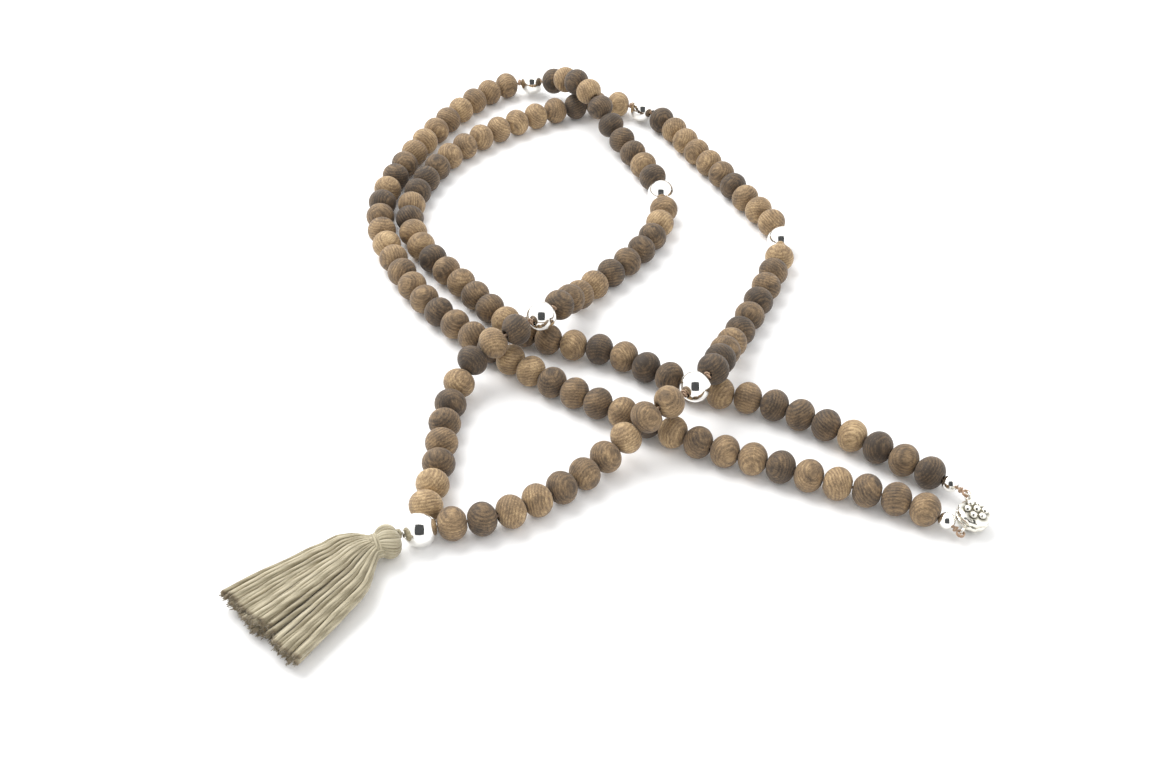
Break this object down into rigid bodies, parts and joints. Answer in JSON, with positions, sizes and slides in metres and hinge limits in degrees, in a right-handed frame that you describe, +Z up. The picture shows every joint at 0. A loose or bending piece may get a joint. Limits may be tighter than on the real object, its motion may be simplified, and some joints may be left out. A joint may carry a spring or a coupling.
{
  "type": "mala prayer beads",
  "caption": "Long loop of matte wooden prayer beads with polished silver spacers, a guru bead with a cotton tassel and a domed magnetic clasp, lying crossed over its own tails.",
  "frame": {"origin": "middle of the laid-out loop on the surface that it lies on", "axes": "+Z up, +Y from the tassel's end towards the far bend of the loop, +X towards the clasp's side"},
  "size_m": [0.172, 0.2356, 0.0167],
  "materials": {
    "wood": "matte turned brown hardwood, unvarnished, with open pores",
    "silver": "polished silver",
    "clasp_silver": "polished cast silver, slightly darkened in its recesses",
    "magnet": "nickel plated magnet",
    "cord": "waxed brown beading cord",
    "tassel_yarn": "mercerised greige cotton yarn"
  },
  "bodies": {
    "strands": {"knots_a_1": "cord", "knots_a_2": "cord", "knots_a_3": "cord", "knots_b_1": "cord", "knots_b_2": "cord", "knots_b_3": "cord", "wood_a_01": "wood", "wood_a_02": "wood", "wood_a_03": "wood", "wood_a_04": "wood", "wood_a_05": "wood", "wood_a_06": "wood", "wood_a_07": "wood", "wood_b_01": "wood", "wood_b_02": "wood", "wood_b_03": "wood", "wood_b_04": "wood", "wood_b_05": "wood", "wood_b_06": "wood", "wood_b_07": "wood", "stringing_cord": "cord", "guru_bead": "silver", "end_ball_a": "silver", "end_loop_lower": "cord", "clasp_lower": "clasp_silver", "magnet_lower": "magnet", "tassel_cord": "cord"},
    "spacer_a_1": {"spacer_a_1": "silver"},
    "spacer_a_2": {"spacer_a_2": "silver"},
    "spacer_a_3": {"spacer_a_3": "silver"},
    "spacer_b_1": {"spacer_b_1": "silver"},
    "spacer_b_2": {"spacer_b_2": "silver"},
    "spacer_b_3": {"spacer_b_3": "silver"},
    "tassel_hanger": {"tassel_knot": "cord"},
    "tassel": {"tassel_head": "tassel_yarn", "tassel_wrap": "tassel_yarn", "tassel_skirt": "tassel_yarn"},
    "tail_1": {"wood_tail_1": "wood", "cord_tail": "cord"},
    "tail_2": {"wood_tail_2": "wood"},
    "tail_3": {"wood_tail_3": "wood"},
    "tail_4": {"wood_tail_4": "wood"},
    "tail_5": {"wood_tail_5": "wood"},
    "tail_6": {"wood_tail_6": "wood"},
    "tail_7": {"wood_tail_7": "wood"},
    "tail_8": {"wood_tail_8": "wood"},
    "tail_9": {"wood_tail_9": "wood", "end_ball_b": "silver", "end_loop_upper": "cord", "clasp_upper": "clasp_silver", "magnet_upper": "magnet"}
  },
  "joints": [
    {"name": "spacer_a_1_spin", "type": "hinge", "parent": "strands", "child": "spacer_a_1", "pos_m": [-0.01675, -0.01499, 0.01229], "axis": [0.6323, 0.7625, -0.1371], "continuous": true},
    {"name": "spacer_a_2_spin", "type": "hinge", "parent": "strands", "child": "spacer_a_2", "pos_m": [0.01676, 0.0518, 0.004], "axis": [-0.2071, 0.9783, 0], "continuous": true},
    {"name": "spacer_a_3_spin", "type": "hinge", "parent": "strands", "child": "spacer_a_3", "pos_m": [-0.02223, 0.11375, 0.00434], "axis": [-0.9769, 0.1352, -0.1654], "continuous": true},
    {"name": "spacer_b_1_spin", "type": "hinge", "parent": "strands", "child": "spacer_b_1", "pos_m": [0.02053, -0.04189, 0.0127], "axis": [0.6717, 0.7408, 0.0022], "continuous": true},
    {"name": "spacer_b_2_spin", "type": "hinge", "parent": "strands", "child": "spacer_b_2", "pos_m": [0.04936, 0.02888, 0.004], "axis": [-0.0685, 0.9977, 0], "continuous": true},
    {"name": "spacer_b_3_spin", "type": "hinge", "parent": "strands", "child": "spacer_b_3", "pos_m": [0.01303, 0.09759, 0.004], "axis": [-0.8245, 0.5659, 0], "continuous": true},
    {"name": "tassel_swing", "type": "hinge", "parent": "strands", "child": "tassel_hanger", "pos_m": [-0.04653, -0.08188, 0.004], "axis": [0, 0, 1], "range_deg": [-25, 25]},
    {"name": "tassel_lift", "type": "hinge", "parent": "tassel_hanger", "child": "tassel", "pos_m": [-0.04711, -0.08218, 0.004], "axis": [-0.4695, 0.8829, 0], "range_deg": [0, 35]},
    {"name": "tail_lift_1", "type": "hinge", "parent": "strands", "child": "tail_1", "pos_m": [0.02445, -0.03369, 0.004], "axis": [-0.3613, -0.9324, 0], "range_deg": [0, 5.5], "deforming": ["cord_tail"]},
    {"name": "tail_lift_2", "type": "hinge", "parent": "tail_1", "child": "tail_2", "pos_m": [0.03102, -0.03562, 0.004], "axis": [-0.2249, -0.9744, 0], "range_deg": [0, 5.5]},
    {"name": "tail_lift_3", "type": "hinge", "parent": "tail_2", "child": "tail_3", "pos_m": [0.03753, -0.03771, 0.004], "axis": [-0.3862, -0.9224, 0], "range_deg": [0, 5.5]},
    {"name": "tail_lift_4", "type": "hinge", "parent": "tail_3", "child": "tail_4", "pos_m": [0.04361, -0.04086, 0.004], "axis": [-0.5039, -0.8638, 0], "range_deg": [0, 5.5]},
    {"name": "tail_lift_5", "type": "hinge", "parent": "tail_4", "child": "tail_5", "pos_m": [0.04949, -0.04437, 0.004], "axis": [-0.5222, -0.8528, 0], "range_deg": [0, 5.5]},
    {"name": "tail_lift_6", "type": "hinge", "parent": "tail_5", "child": "tail_6", "pos_m": [0.05529, -0.048, 0.004], "axis": [-0.5369, -0.8437, 0], "range_deg": [0, 5.5]},
    {"name": "tail_lift_7", "type": "hinge", "parent": "tail_6", "child": "tail_7", "pos_m": [0.06097, -0.05184, 0.004], "axis": [-0.5856, -0.8106, 0], "range_deg": [0, 5.5]},
    {"name": "tail_lift_8", "type": "hinge", "parent": "tail_7", "child": "tail_8", "pos_m": [0.06642, -0.05599, 0.004], "axis": [-0.6138, -0.7894, 0], "range_deg": [0, 5.5]},
    {"name": "tail_lift_9", "type": "hinge", "parent": "tail_8", "child": "tail_9", "pos_m": [0.07184, -0.06018, 0.004], "axis": [-0.6084, -0.7936, 0], "range_deg": [0, 5.5]}
  ],
  "couplings": [
    {"joint": "tail_lift_2", "follows": "tail_lift_1", "ratio": 1},
    {"joint": "tail_lift_3", "follows": "tail_lift_1", "ratio": 1},
    {"joint": "tail_lift_4", "follows": "tail_lift_1", "ratio": 1},
    {"joint": "tail_lift_5", "follows": "tail_lift_1", "ratio": 1},
    {"joint": "tail_lift_6", "follows": "tail_lift_1", "ratio": 1},
    {"joint": "tail_lift_7", "follows": "tail_lift_1", "ratio": 1},
    {"joint": "tail_lift_8", "follows": "tail_lift_1", "ratio": 1},
    {"joint": "tail_lift_9", "follows": "tail_lift_1", "ratio": 1}
  ]
}
